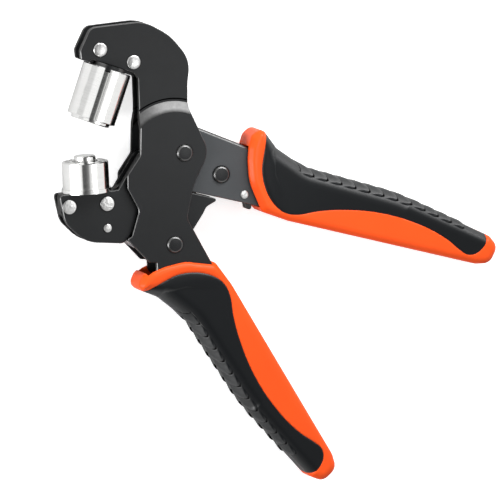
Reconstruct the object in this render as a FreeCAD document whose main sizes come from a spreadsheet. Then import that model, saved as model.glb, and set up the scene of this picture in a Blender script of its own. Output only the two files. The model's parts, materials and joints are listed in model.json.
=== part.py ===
"""Hand eyelet pliers, lying on one side: a parametric FreeCAD document.

Tool frame (mm): X to the right, Y along the frame plate towards its head, Z along the pivot pins,
with the jaw's pivot pin at X = Y = 0 and the middle of the thickness at Z = 0. At the end every
sub-part gets the same shift, which puts the origin under the middle of the outline, on the surface
that the tool lies on.
"""
import FreeCAD, Part
import math
import os
import Sketcher

Vector = FreeCAD.Vector
Z_AXIS = Vector(0, 0, 1)

# ---------------------------------------------------------------- driving dimensions (mm, degrees)
SIZES = {
    # sheet, play and fits
    "plate_thickness": 3.0,
    "core_thickness": 6.0,
    "side_play": 0.15,
    "running_gap": 0.05,
    "edge_bevel": 0.5,
    "sheet_bevel": 0.4,
    "seat_margin": 0.3,
    # headed pins, rivets and washers
    "pin_radius": 3.0,
    "pin_head_radius": 4.3,
    "pin_head_height": 1.2,
    "rivet_radius": 2.5,
    "rivet_head_radius": 3.7,
    "rivet_head_height": 1.1,
    "small_pin_radius": 1.6,
    "small_head_radius": 2.2,
    "small_head_height": 0.6,
    "knuckle_radius": 2.5,
    "knuckle_gap": 0.45,
    "link_eye_radius": 6.4,
    "knuckle_eye_radius": 5.4,
    "washer_radius": 4.75,
    "washer_thickness": 0.5,
    "link_washer_radius": 4.6,
    # pivots, from the jaw's pivot pin
    "link_pin_x": -5.4,
    "link_pin_y": -48.2,
    "handle_pin_x": 21.0,
    "handle_pin_y": -12.4,
    "knuckle_x": 4.5,
    "knuckle_y": -15.2,
    "jaw_travel": 21.5,
    # fixed die: middle of the sleeve's mouth and direction of its axis
    "mouth_x": -48.7,
    "mouth_y": 18.5,
    "die_angle": 71.2,
    "die_radius": 13.0,
    "sleeve_wall": 2.4,
    "sleeve_length": 28.0,
    "sleeve_slot": 3.1,
    "sleeve_slot_turn": -15.0,
    "punch_stand_out": 1.75,
    "punch_length": 26.7,
    "punch_bore_gap": 0.5,
    "punch_bore_depth": 9.0,
    "punch_groove_reach": 2.6,
    "groove_depth": 1.0,
    "holder_neck": 2.0,
    "holder_collar_step": 1.0,
    "holder_tang_start": -13.6,
    "holder_tang_length": 29.0,
    "holder_tang_height": 13.5,
    # die rivets, from the seat of each die
    "die_rivet_rise": 8.2,
    "die_rivet_spacing": 19.6,
    "die_rivet_shift": 1.1,
    "die_rivet_fall": 0.9,
    "jaw_rivet_drop": 6.5,
    "jaw_rivet_spacing": 20.8,
    # moving die
    "die_gap": 1.0,
    "lower_die_height": 16.2,
    "flange_height": 2.0,
    "die_step": 0.7,
    "die_stud_radius": 2.0,
    "die_stud_length": 11.0,
    "pilot_radius": 5.8,
    "pilot_stand_out": 3.0,
    "pilot_bevel": 0.6,
    "pilot_guide_step": 0.3,
    "pilot_flange_step": 0.8,
    "pilot_flange_height": 2.0,
    "pilot_recess_radius": 3.2,
    "pilot_recess_depth": 1.2,
    "pilot_well_depth": 13.0,
    "pilot_spring_inset": 2.0,
    "pilot_spring_wire": 0.5,
    "pilot_spring_turns": 5,
    "clip_depth": 2.0,
    "clip_thickness": 0.9,
    "clip_bite": 0.8,
    "clip_opening": 3.0,
    "die_groove_reach": 3.6,
    # joggle of the frame plates: arcs about a point beside the pivot pin
    "joggle_x": -5.5,
    "joggle_y": -2.8,
    "joggle_radius": 24.7,
    "joggle_run": 5.3,
    # return spring between jaw lobe and frame
    "spring_pin_x": -41.4,
    "spring_pin_y": -38.5,
    "spring_post_x": -13.5,
    "spring_post_y": -53.9,
    "spring_post_radius": 1.5,
    "spring_wire_radius": 0.45,
    "spring_coil_radius": 2.0,
    "spring_coil_length": 13.0,
    "spring_eye_gap": 0.3,
    # handle channel and its plug
    "web_thickness": 3.0,
    "channel_bend": 2.0,
    "plug_pin_x": 33.8,
    "plug_pin_y": -23.6,
    # grips: same shape, one turned over
    "grip_length": 135.0,
    "grip_thickness": 23.0,
    "grip_edge": 3.0,
    "upper_grip_x": 46.5,
    "upper_grip_y": -12.1,
    "upper_grip_angle": -21.5,
    "lower_grip_x": -1.7,
    "lower_grip_y": -67.9,
    "lower_grip_angle": -51.9,
    "tang_length": 62.0,
    "tang_rivet_first": 20.0,
    "tang_rivet_pitch": 30.0,
}
DRAWN_GRIP_LENGTH = 135.0   # the grip's corners below are drawn for this length
HEAD_DOME_SHARE = 0.45      # share of a head's height that its round rim takes
THROUGH = 60.0              # length of a cutter that goes right through
FAR = 200.0                 # beyond the outline on every side

doc = FreeCAD.newDocument("eyelet_pliers")
sheet = doc.addObject("Spreadsheet::Sheet", "Sizes")
for row, (alias, number) in enumerate(SIZES.items(), start=1):
    sheet.set(f"A{row}", alias)
    sheet.set(f"B{row}", str(number))
    sheet.setAlias(f"B{row}", alias)
doc.recompute()


def size(alias):
    """Read one driving dimension back from the sheet."""
    return float(getattr(sheet, alias))


# ---------------------------------------------------------------- places worked out from the sizes
CORE_HALF = size("core_thickness") / 2
CHEEK_IN = CORE_HALF + size("side_play")
CHEEK_HALF = CHEEK_IN + size("plate_thickness")
FRAME_IN = CHEEK_HALF + size("side_play")
FRAME_HALF = FRAME_IN + size("plate_thickness")
HEAD_HALF = CORE_HALF + size("plate_thickness")
LINK_PIN = Vector(size("link_pin_x"), size("link_pin_y"), 0)
HANDLE_PIN = Vector(size("handle_pin_x"), size("handle_pin_y"), 0)
KNUCKLE = Vector(size("knuckle_x"), size("knuckle_y"), 0)
SPRING_PIN = Vector(size("spring_pin_x"), size("spring_pin_y"), 0)
SPRING_POST = Vector(size("spring_post_x"), size("spring_post_y"), 0)
PLUG_PIN = Vector(size("plug_pin_x"), size("plug_pin_y"), 0)


def turned(point, degrees):
    """A point turned about the jaw's pivot, anticlockwise."""
    return FreeCAD.Rotation(Z_AXIS, degrees).multVec(point)


def direction(degrees):
    return Vector(math.cos(math.radians(degrees)), math.sin(math.radians(degrees)), 0)


def die_frame(mouth, degrees):
    """Placement whose local Z runs along a die's axis and whose local X stays in the tool's plane."""
    along = direction(degrees)
    across = direction(degrees - 90)
    return FreeCAD.Placement(mouth, FreeCAD.Rotation(across, Vector(), along, "ZXY"))


MOUTH = Vector(size("mouth_x"), size("mouth_y"), 0)
AXIS_UP = direction(size("die_angle"))
UPPER_DIE = die_frame(MOUTH, size("die_angle"))
CLOSED_FACE = MOUTH - AXIS_UP * (size("punch_stand_out") + size("die_gap"))
LOWER_ANGLE = size("die_angle") + size("jaw_travel")
LOWER_FACE = turned(CLOSED_FACE, size("jaw_travel"))
LOWER_DIE = die_frame(LOWER_FACE, LOWER_ANGLE)
DIE_RADIUS = size("die_radius")
SLEEVE_BORE = DIE_RADIUS - size("sleeve_wall")
PILOT_GUIDE_RADIUS = size("pilot_radius") + size("pilot_guide_step")
PILOT_FLANGE_RADIUS = size("pilot_radius") + size("pilot_flange_step")
PILOT_WELL_RADIUS = PILOT_FLANGE_RADIUS + 2 * size("running_gap")
CLIP_LOW = -size("clip_depth") - size("clip_thickness")
PILOT_TOP = CLIP_LOW - size("running_gap")
PILOT_LOW = PILOT_TOP - size("pilot_flange_height")


def upper_point(across, up):
    """Point beside the fixed die: across to its right, up from its top."""
    return UPPER_DIE.multVec(Vector(across, 0, size("sleeve_length") + up))


def lower_point(across, up):
    """Point beside the moving die: across to its right, up from its seat on the jaw."""
    return LOWER_DIE.multVec(Vector(across, 0, up - size("lower_die_height")))


RIVET_HALF = size("die_rivet_spacing") / 2
HEAD_RIVETS = [upper_point(size("die_rivet_shift") - RIVET_HALF, size("die_rivet_rise")),
               upper_point(size("die_rivet_shift") + RIVET_HALF,
                           size("die_rivet_rise") - size("die_rivet_fall"))]
JAW_RIVET_HALF = size("jaw_rivet_spacing") / 2
JAW_RIVETS = [lower_point(side * JAW_RIVET_HALF - size("die_rivet_shift"), -size("jaw_rivet_drop"))
              for side in (-1, 1)]


def grip_frame(side):
    """Origin, lengthwise and outward directions of a grip. The lower grip is turned over."""
    origin = Vector(size(f"{side}_grip_x"), size(f"{side}_grip_y"), 0)
    angle = size(f"{side}_grip_angle")
    outward = direction(angle + 90) if side == "upper" else direction(angle - 90)
    return origin, direction(angle), outward


def grip_point(side, along, out):
    origin, lengthwise, outward = grip_frame(side)
    return origin + lengthwise * along + outward * out


TANG_RIVETS = [grip_point("lower", size("tang_rivet_first") + step * size("tang_rivet_pitch"), -1.0)
               for step in (0, 1)]


# ---------------------------------------------------------------- outlines
def rounded(corners):
    """Lines and tangent arcs of a closed outline. Each corner is (x, y, radius), 0 where it is sharp."""
    count = len(corners)
    spots = [Vector(x, y, 0) for x, y, _ in corners]
    cuts = []
    for index, (_, _, radius) in enumerate(corners):
        here = spots[index]
        back = (spots[index - 1] - here).normalize()
        ahead = (spots[(index + 1) % count] - here).normalize()
        half = back.getAngle(ahead) / 2
        reach = radius / math.tan(half)
        middle = (back + ahead).normalize()
        inner = here + middle * (radius / math.sin(half) - radius)
        cuts.append((here + back * reach, inner, here + ahead * reach))
    edges = []
    for index in range(count):
        start, inner, end = cuts[index]
        if start.distanceToPoint(end) > 1e-4:
            edges.append(Part.Arc(start, inner, end))
        following = cuts[(index + 1) % count][0]
        if end.distanceToPoint(following) > 1e-4:
            edges.append(Part.LineSegment(end, following))
    return edges


def near(anchor, *corners):
    """Corners given from an anchor point."""
    return [(anchor.x + x, anchor.y + y, radius) for x, y, radius in corners]


def beside(point, *corners):
    """Corners given across and up from a die, by upper_point or lower_point."""
    spots = [(point(across, up), radius) for across, up, radius in corners]
    return [(spot.x, spot.y, radius) for spot, radius in spots]


def outline_face(corners, height):
    wire = Part.Wire([edge.toShape() for edge in rounded(corners)])
    face = Part.Face(wire)
    face.translate(Vector(0, 0, height))
    return face


def prism(corners, low, high):
    return outline_face(corners, low).extrude(Vector(0, 0, high - low))


def on_outline(edge, height):
    """Whether an edge lies flat at a height and isn't the rim of a round hole."""
    flat = abs(edge.BoundBox.ZMin - height) < 1e-3 and edge.BoundBox.ZLength < 1e-3
    return flat and not edge.isClosed()


def bevelled_prism(corners, low, high):
    """A prism with the sheet's bevel around its upper face."""
    body = prism(corners, low, high)
    return body.makeChamfer(size("sheet_bevel"), [edge for edge in body.Edges if on_outline(edge, high)])


PIVOT = Vector(0, 0, 0)
DIE_TOP = upper_point(0, 0)
CHANNEL_CORNER = Vector(5.5, 14.0, 0)   # where the channel's outer edge starts, over the pivot
GRIP_SCALE = size("grip_length") / DRAWN_GRIP_LENGTH


def tang_corners(side, inner_start, outer_start):
    """The tail of a plate inside its grip, from the inner side round its end to the outer side."""
    end = size("tang_length")
    shape = [inner_start, (26, -8.5, 12), (end, -6.0, 2), (end, 5.5, 0), outer_start]
    points = []
    for along, out, radius in shape:
        spot = grip_point(side, along, out)
        points.append((spot.x, spot.y, radius))
    return points


def frame_corners():
    """C-shaped head, neck, body and tang of a frame plate, clockwise from the head's lip."""
    head = near(DIE_TOP, (-15.9, 5.6, 1.2), (-16.5, 10.2, 4), (-10.8, 22.2, 5), (18.4, 24.7, 20),
                (32.8, 16.9, 30), (43.8, 3.6, 16), (42.4, -8.3, 25))
    bulge = near(PIVOT, (2.7, 22.8, 14), (13.6, 0.3, 13), (5.1, -16.9, 30))
    waist = near(LINK_PIN, (6.8, 13.6, 6))
    tang = tang_corners("lower", (3.6, -18.7, 8), (-3.4, 6.3, 5))
    shoulder = near(LINK_PIN, (-9.9, -15.0, 4), (-9.9, -9.2, 0.6), (-13.8, -9.1, 0.8),
                    (-26.1, 3.8, 0.8), (-23.5, 5.0, 1.2), (-19.5, 18.7, 5), (-25.9, 30.5, 4))
    throat = near(PIVOT, (-31.3, -10.8, 3), (-24.3, -0.7, 3), (-23.9, 24.9, 20))
    neck = size("holder_neck")
    touch = size("running_gap")
    lip = beside(upper_point, (DIE_RADIUS + 3.1, touch, 3), (DIE_RADIUS - 0.7, neck, 2),
                 (1.8 - DIE_RADIUS, neck, 0.6), (0.8 - DIE_RADIUS, touch, 0.6))
    return head + bulge + waist + tang + shoulder + throat + lip


def jaw_plate_corners():
    """Lobe under the moving die, eye on the pivot, and the tail that stops the handle."""
    seat = beside(lower_point, (DIE_RADIUS + 3.0, 0.3, 1), (DIE_RADIUS + size("seat_margin"), 0, 0.5),
                  (-3.6 - DIE_RADIUS, 0, 2))
    lobe = near(SPRING_PIN, (-23.0, 3.4, 10), (-12.0, -7.1, 18), (9.8, -8.6, 5), (15.5, 0.9, 3))
    belly = near(PIVOT, (-9.5, -41.8, 20), (5.0, -42.4, 1.5))
    tail = near(KNUCKLE, (6.6, -17.9, 3), (8.6, -14.1, 4), (15.4, -10.5, 1.0), (10.7, -9.1, 0.6),
                (1.2, -6.7, 3), (-6.9, -5.7, 6))
    eye = near(PIVOT, (-2.2, -6.7, 1.2), (6.2, -6.4, 5.6), (7.0, 6.7, 6.6), (-8.5, 7.3, 6),
               (-23.4, 0.3, 3), (-31.5, -12.3, 4))
    return eye + seat + lobe + belly + tail


def jaw_arm_corners():
    """Centre plate: die seat, eye on the pivot, arm out to the handle pin, notch for the link."""
    lobe = beside(lower_point, (-2.8 - DIE_RADIUS, 0, 2), (-14.8, -13.0, 4), (16.0, -13.6, 5))
    elbow = near(PIVOT, (-6.5, -7.5, 4), (0.6, -6.6, 3))
    notch = near(KNUCKLE, (1.0, 9.6, 5.2), (8.4, 6.3, 3.5))
    end = near(HANDLE_PIN, (-6.6, -6.6, 5.5), (5.5, -7.4, 5.8), (8.2, 2.2, 5.5), (2.4, 7.5, 6))
    top = near(PIVOT, (4.5, 9.0, 7), (-7.5, 8.6, 8), (-22.4, -1.3, 3), (-31.8, -15.4, 4))
    step = beside(lower_point, (DIE_RADIUS + size("seat_margin"), 0, 0.5))
    return lobe + elbow + notch + end + top + step


def handle_corners():
    """Side of the handle channel: nose on the knuckle, edge over the pivot, tang in the grip."""
    nose = near(KNUCKLE, (-5.75, -4.3, 5.65), (-5.75, 6.0, 5.3), (4.5, 5.6, 2))
    back = near(PIVOT, (9.0, 7.6, 1.5), (5.5, 10.8, 1.5)) + [(CHANNEL_CORNER.x, CHANNEL_CORNER.y, 0)]
    tang = tang_corners("upper", (1.6, -18.5, 2), (5.8, 8.4, 12))
    return nose + back + list(reversed(tang))


def web_corners():
    """Inside of the channel: all of it but the web along the outer edge."""
    wall = size("web_thickness")
    first = CHANNEL_CORNER
    bend = grip_point("upper", 5.8, 8.4)
    end = grip_point("upper", size("tang_length"), 5.5)
    run = (bend - first).normalize()
    inward = Vector(run.y, -run.x, 0) * wall
    top = [first + inward - run * 20, bend + inward, end + inward + run * 20]
    low = [grip_point("upper", size("tang_length") + 20, -40), Vector(-20, -60, 0)]
    return [(spot.x, spot.y, 0.01) for spot in top + low]


def link_outline():
    """Toggle link: two round eyes joined by straight edges that touch both."""
    low = size("link_eye_radius")
    high = size("knuckle_eye_radius")
    run = (KNUCKLE - LINK_PIN).normalize()
    side = Vector(-run.y, run.x, 0)
    lean = math.asin((low - high) / KNUCKLE.distanceToPoint(LINK_PIN))
    left = run * math.sin(lean) + side * math.cos(lean)
    right = run * math.sin(lean) - side * math.cos(lean)
    return [Part.Arc(LINK_PIN + left * low, LINK_PIN - run * low, LINK_PIN + right * low),
            Part.LineSegment(LINK_PIN + right * low, KNUCKLE + right * high),
            Part.Arc(KNUCKLE + right * high, KNUCKLE + run * high, KNUCKLE + left * high),
            Part.LineSegment(KNUCKLE + left * high, LINK_PIN + left * low)]


def grip_corners(side):
    """Grip seen from its side: mouth, pommel, back, tip and belly."""
    shape = [(-13.2, 2.2, 25), (-15.4, 9.2, 8), (-16.0, 14.6, 4.5), (-13.1, 19.8, 4.0), (-9.4, 19.4, 5),
             (0.5, 13.6, 12), (20, 8.9, 25), (73, 13.3, 90), (128.5, 9.4, 5),
             (134.9, 5.7, 5.5), (134.2, -4.2, 6), (126.5, -7.2, 8), (19.5, -20.4, 13), (4.2, -20.7, 3.6),
             (-8.1, -8.3, 30)]
    return grip_outline(side, shape)


def cover_corners(side):
    """Region of the soft cover: everything outward of the line where the two colours meet."""
    shape = [(-9.6, 30, 1), (-8.6, 17.0, 30), (-5.2, -2.0, 30), (3.0, -13.6, 14), (14.0, -18.6, 14),
             (24.0, -16.0, 12), (41.5, -5.6, 40), (82.0, 3.4, 60), (108.0, -0.3, 20), (118.6, -5.0, 6),
             (127.2, -1.6, 6), (127.5, 8.2, 6), (124.0, 12.6, 1), (124.0, 30, 1)]
    return grip_outline(side, shape)


def grip_outline(side, shape):
    corners = []
    for along, out, radius in shape:
        spot = grip_point(side, along * GRIP_SCALE, out)
        corners.append((spot.x, spot.y, radius))
    return corners


# ---------------------------------------------------------------- builders
SUB_PARTS = []


def keep(item, label):
    item.Label = label
    SUB_PARTS.append(item)
    return item


def origin_plane(body, role):
    return next(item for item in body.Origin.OriginFeatures if item.Role == role)


def add_outline(sketch, outline):
    for edge in outline:
        sketch.addGeometry(edge, False)


def add_hole(sketch, spot_aliases, radius, number):
    """A round hole whose place and radius follow the sheet."""
    x_text, y_text = spot_aliases
    circle = sketch.addGeometry(Part.Circle(Vector(0, 0, 0), Z_AXIS, 1.0), False)
    for kind, text in (("Radius", radius), ("DistanceX", x_text), ("DistanceY", y_text)):
        name = f"hole{number}_{kind}"
        value = doc.Sizes.evalExpression(text)
        value = float(getattr(value, "Value", value))
        if kind == "Radius":
            index = sketch.addConstraint(Sketcher.Constraint("Radius", circle, value))
        else:
            index = sketch.addConstraint(Sketcher.Constraint(kind, -1, 1, circle, 3, value))
        sketch.renameConstraint(index, name)
        sketch.setExpression(f"Constraints.{name}", text.replace("Sizes.", "<<Sizes>>."))


def plate(label, outline, low, thickness, holes=()):
    """A flat plate as a body: outline and holes in one sketch, padded upwards.

    outline is a list of lines and arcs. low and thickness are expressions of the sheet. holes hold
    (x, y, radius) expressions.
    """
    body = doc.addObject("PartDesign::Body", label)
    sketch = body.newObject("Sketcher::SketchObject", label + "_outline")
    sketch.AttachmentSupport = [(origin_plane(body, "XY_Plane"), "")]
    sketch.MapMode = "FlatFace"
    sketch.setExpression("AttachmentOffset.Base.z", low)
    add_outline(sketch, outline)
    for number, (x_text, y_text, radius) in enumerate(holes):
        add_hole(sketch, (x_text, y_text), radius, number)
    pad = body.newObject("PartDesign::Pad", label + "_pad")
    pad.Profile = sketch
    pad.setExpression("Length", thickness)
    body.Tip = pad
    doc.recompute()
    return body


def dress(body, kind, alias, wanted):
    """Round (Fillet) or bevel (Chamfer) the wanted edges of a body's last feature."""
    last = body.Tip
    names = [f"Edge{number}" for number, edge in enumerate(last.Shape.Edges, start=1) if wanted(edge)]
    item = body.newObject(f"PartDesign::{kind}", f"{body.Name}_{alias}")
    item.Base = (last, names)
    item.setExpression("Radius" if kind == "Fillet" else "Size", f"Sizes.{alias}")
    body.Tip = item
    doc.recompute()


def fixed_text(number):
    """A worked-out place, as an expression."""
    return f"{number:.6f}"


def turned_body(label, profile, placement):
    """A round piece as a body: a closed profile of (radius, height) corners turned about its axis."""
    body = doc.addObject("PartDesign::Body", label)
    sketch = body.newObject("Sketcher::SketchObject", label + "_profile")
    sketch.AttachmentSupport = [(origin_plane(body, "XZ_Plane"), "")]
    sketch.MapMode = "FlatFace"
    spots = [Vector(radius, height, 0) for radius, height in profile]
    for start, end in zip(spots, spots[1:] + spots[:1]):
        sketch.addGeometry(Part.LineSegment(start, end), False)
    turn = body.newObject("PartDesign::Revolution", label + "_turn")
    turn.Profile = sketch
    turn.ReferenceAxis = (sketch, ["V_Axis"])
    turn.Angle = 360
    body.Tip = turn
    body.Placement = placement
    doc.recompute()
    return body


def barrel(name, radius, low, high, spot):
    """A Part cylinder along Z between two heights, all three as expressions of the sheet."""
    item = doc.addObject("Part::Cylinder", name)
    item.setExpression("Radius", radius)
    item.setExpression("Height", f"({high}) - ({low})")
    item.setExpression("Placement.Base.z", low)
    item.setExpression("Placement.Base.x", fixed_text(spot.x))
    item.setExpression("Placement.Base.y", fixed_text(spot.y))
    return item


def rounded_rim(name, source, edges, radius):
    item = doc.addObject("Part::Fillet", name)
    item.Base = source
    item.Edges = [(edge, radius, radius) for edge in edges]
    return item


def headed_pin(label, spots, radius, head_radius, head_height, half):
    """Round pins through the tool with a head at both ends; several spots make one group."""
    pieces = []
    for number, spot in enumerate(spots):
        stem = f"{label}_{number}"
        shaft = barrel(stem + "_shaft", radius, f"-({half})", half, spot)
        top = barrel(stem + "_head", head_radius, half, f"({half}) + {head_height}", spot)
        foot = barrel(stem + "_foot", head_radius, f"-({half}) - {head_height}", f"-({half})", spot)
        doc.recompute()
        domed = size(head_height.split(".")[1]) * HEAD_DOME_SHARE
        crowned = rounded_rim(stem + "_crown", top, [3], domed)
        bottom = rounded_rim(stem + "_base", foot, [2], domed)
        whole = doc.addObject("Part::MultiFuse", stem + "_pin")
        whole.Shapes = [shaft, crowned, bottom]
        pieces.append(whole)
    if len(pieces) == 1:
        return keep(pieces[0], label)
    group = doc.addObject("Part::Compound", label + "_group")
    group.Links = pieces
    return keep(group, label)


def shaped(label, shape, placement=None):
    """A piece whose shape is worked out here from the sheet's sizes."""
    item = doc.addObject("Part::Feature", label)
    item.Shape = shape
    if placement is not None:
        item.Placement = placement.multiply(shape.Placement)
    return keep(item, label)


def mirrored(label, source):
    item = doc.addObject("Part::Mirroring", label)
    item.Source = source
    item.Normal = Z_AXIS
    return keep(item, label)


# expressions that several pieces share
PLATE = "Sizes.plate_thickness"
CORE = "Sizes.core_thickness / 2"
FRAME_OUT = "Sizes.core_thickness / 2 + 2 * Sizes.plate_thickness + 2 * Sizes.side_play"
CHEEK_OUT = "Sizes.core_thickness / 2 + Sizes.plate_thickness + Sizes.side_play"
JAW_OUT = "Sizes.core_thickness / 2 + Sizes.plate_thickness"
LINK_SPOT = ("Sizes.link_pin_x", "Sizes.link_pin_y")
HANDLE_SPOT = ("Sizes.handle_pin_x", "Sizes.handle_pin_y")
KNUCKLE_SPOT = ("Sizes.knuckle_x", "Sizes.knuckle_y")
RUNNING = "Sizes.pin_radius + Sizes.running_gap"


def spot_text(spot):
    return fixed_text(spot.x), fixed_text(spot.y)


# ---------------------------------------------------------------- frame
def joggled_sheet():
    """Bent sheet that a frame plate is cut from: flat body, conical joggle, flat head."""
    inner = size("joggle_radius")
    outer = inner + size("joggle_run")
    drop = FRAME_HALF - HEAD_HALF
    shift = size("plate_thickness") * math.tan(math.atan2(drop, size("joggle_run")) / 2)
    profile = [(0, FRAME_IN), (inner - shift, FRAME_IN), (outer - shift, CORE_HALF), (FAR, CORE_HALF),
               (FAR, HEAD_HALF), (outer, HEAD_HALF), (inner, FRAME_HALF), (0, FRAME_HALF)]
    spots = [Vector(radius, 0, height) for radius, height in profile]
    wire = Part.makePolygon(spots + spots[:1])
    dish = Part.Face(wire).revolve(Vector(), Z_AXIS, 180)
    slab = Part.makeBox(2 * FAR, FAR, size("plate_thickness"), Vector(-FAR, -FAR, FRAME_IN))
    whole = dish.fuse(slab).removeSplitter()
    whole.translate(Vector(size("joggle_x"), size("joggle_y"), 0))
    return whole


def head_region():
    """Space beyond the joggle, where the frame plates lie against the die holder."""
    start = Vector(size("joggle_x"), size("joggle_y"), 0)
    block = Part.makeBox(2 * FAR, FAR, THROUGH, start - Vector(FAR, 0, 0))
    return block.cut(Part.makeCylinder(size("joggle_radius") + size("joggle_run"), THROUGH, start))


def frame_plate():
    bent_sheet = joggled_sheet()
    body = bevelled_prism(frame_corners(), 0, FRAME_HALF).common(bent_sheet).cut(head_region())
    head = bevelled_prism(frame_corners(), 0, HEAD_HALF).common(bent_sheet).common(head_region())
    piece = body.fuse(head).removeSplitter()
    drills = [(spot, size("pin_radius")) for spot in (PIVOT, LINK_PIN)]
    drills += [(spot, size("rivet_radius")) for spot in HEAD_RIVETS + TANG_RIVETS]
    for spot, radius in drills:
        piece = piece.cut(Part.makeCylinder(radius, THROUGH, spot, Z_AXIS))
    return piece.Solids[0]


frame_front = shaped("frame_plate_front", frame_plate())
mirrored("frame_plate_rear", frame_front)


def upper_die_holder():
    """Plug inside the sleeve, neck, and flat tang riveted between the head plates."""
    top = size("sleeve_length")
    low = size("punch_length")
    plug = Part.makeCylinder(SLEEVE_BORE, top - low, Vector(0, 0, low))
    collar_radius = SLEEVE_BORE - size("holder_collar_step")
    collar = Part.makeCylinder(collar_radius, size("holder_neck"), Vector(0, 0, top))
    corner = Vector(size("holder_tang_start"), -CORE_HALF, top + size("seat_margin"))
    tang = Part.makeBox(size("holder_tang_length"), size("core_thickness"), size("holder_tang_height"),
                        corner)
    piece = plug.fuse([collar, tang]).removeSplitter()
    across = Vector(0, 1, 0)
    for spot in HEAD_RIVETS:
        start = UPPER_DIE.inverse().multVec(spot) - across * (THROUGH / 2)
        piece = piece.cut(Part.makeCylinder(size("rivet_radius"), THROUGH, start, across))
    return piece


shaped("upper_die_holder", upper_die_holder(), UPPER_DIE)


def circles(shape, wanted=lambda edge: True):
    """Round edges of a turned shape."""
    return [edge for edge in shape.Edges if isinstance(edge.Curve, Part.Circle) and wanted(edge)]


def upper_die_sleeve():
    outer = Part.makeCylinder(DIE_RADIUS, size("sleeve_length"))
    outer = outer.makeChamfer(size("edge_bevel"), circles(outer))
    bore = Part.makeCylinder(SLEEVE_BORE, size("sleeve_length"))
    width = size("sleeve_slot")
    slot = Part.makeBox(width, THROUGH, THROUGH, Vector(-width / 2, -THROUGH, -THROUGH / 4))
    slot.rotate(Vector(), Z_AXIS, size("sleeve_slot_turn"))
    return outer.cut([bore, slot])


shaped("upper_die_sleeve", upper_die_sleeve(), UPPER_DIE)


def upper_die_punch():
    """Punch with a pilot bore and a ring groove that curls the eyelet over."""
    low = Vector(0, 0, -size("punch_stand_out"))
    radius = SLEEVE_BORE - size("running_gap")
    body = Part.makeCylinder(radius, size("punch_length") + size("punch_stand_out"), low)
    body = body.makeChamfer(size("edge_bevel"), circles(body))
    bore = Part.makeCylinder(size("pilot_radius") + size("punch_bore_gap"), size("punch_bore_depth"), low)
    groove = Part.makeTorus(size("pilot_radius") + size("punch_groove_reach"), size("groove_depth"), low)
    return body.cut([bore, groove])


shaped("upper_die_punch", upper_die_punch(), UPPER_DIE)
headed_pin("head_rivets", HEAD_RIVETS, "Sizes.rivet_radius", "Sizes.rivet_head_radius",
           "Sizes.rivet_head_height", JAW_OUT)
headed_pin("pivot_pin", [PIVOT], "Sizes.pin_radius", "Sizes.pin_head_radius",
           "Sizes.pin_head_height", FRAME_OUT)
headed_pin("link_pin", [LINK_PIN], "Sizes.pin_radius", "Sizes.pin_head_radius",
           "Sizes.pin_head_height", FRAME_OUT)


def ring_pair(label, spot, outer, inner, low, high):
    """Two equal flat rings, one on each side of the tool's middle."""
    ring = Part.makeCylinder(outer, high - low, spot + Z_AXIS * low)
    ring = ring.cut(Part.makeCylinder(inner, high - low, spot + Z_AXIS * low))
    return shaped(label, Part.makeCompound([ring, ring.mirror(Vector(), Z_AXIS)]))


ring_pair("link_washers", LINK_PIN, size("link_washer_radius"), size("pin_radius"),
          CORE_HALF + size("side_play"), FRAME_IN)


def tang_spacer():
    corners = tang_corners("lower", (12.0, -13.5, 3), (6.0, 5.4, 3))
    body = prism(corners, -FRAME_IN, FRAME_IN)
    for spot in TANG_RIVETS:
        body = body.cut(Part.makeCylinder(size("rivet_radius"), THROUGH, spot - Z_AXIS * THROUGH / 2))
    return body


shaped("tang_spacer", tang_spacer())
tang_shafts = [Part.makeCylinder(size("rivet_radius"), 2 * FRAME_HALF, spot - Z_AXIS * FRAME_HALF)
               for spot in TANG_RIVETS]
shaped("tang_rivets", Part.makeCompound(tang_shafts))
shaped("spring_post", Part.makeCylinder(size("spring_post_radius"), 2 * FRAME_IN,
                                        SPRING_POST - Z_AXIS * FRAME_IN))

# ---------------------------------------------------------------- jaw
SMALL = "Sizes.small_pin_radius"
jaw_holes = [("0", "0", RUNNING), ("Sizes.spring_pin_x", "Sizes.spring_pin_y", SMALL)]
jaw_holes += [spot_text(spot) + ("Sizes.rivet_radius",) for spot in JAW_RIVETS]
jaw_front = keep(plate("jaw_plate_front", rounded(jaw_plate_corners()), CORE, PLATE, jaw_holes),
                 "jaw_plate_front")
dress(jaw_front, "Chamfer", "sheet_bevel", lambda edge: on_outline(edge, HEAD_HALF))
mirrored("jaw_plate_rear", jaw_front)

arm_holes = [("0", "0", RUNNING), HANDLE_SPOT + (RUNNING,)]
arm_holes += [spot_text(spot) + ("Sizes.rivet_radius",) for spot in JAW_RIVETS]
arm_blank = plate("arm_blank", rounded(jaw_arm_corners()), "-Sizes.core_thickness / 2",
                  "Sizes.core_thickness", arm_holes)
stud_hole = doc.addObject("Part::Cylinder", "stud_hole")
stud_hole.setExpression("Radius", "Sizes.die_stud_radius")
stud_hole.setExpression("Height", "Sizes.die_stud_length")
stud_hole.Placement = LOWER_DIE.multiply(FreeCAD.Placement(
    Vector(0, 0, -size("lower_die_height") - size("die_stud_length")), FreeCAD.Rotation()))
arm = doc.addObject("Part::Cut", "arm_cut")
arm.Base = arm_blank
arm.Tool = stud_hole
keep(arm, "jaw_arm")


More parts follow.
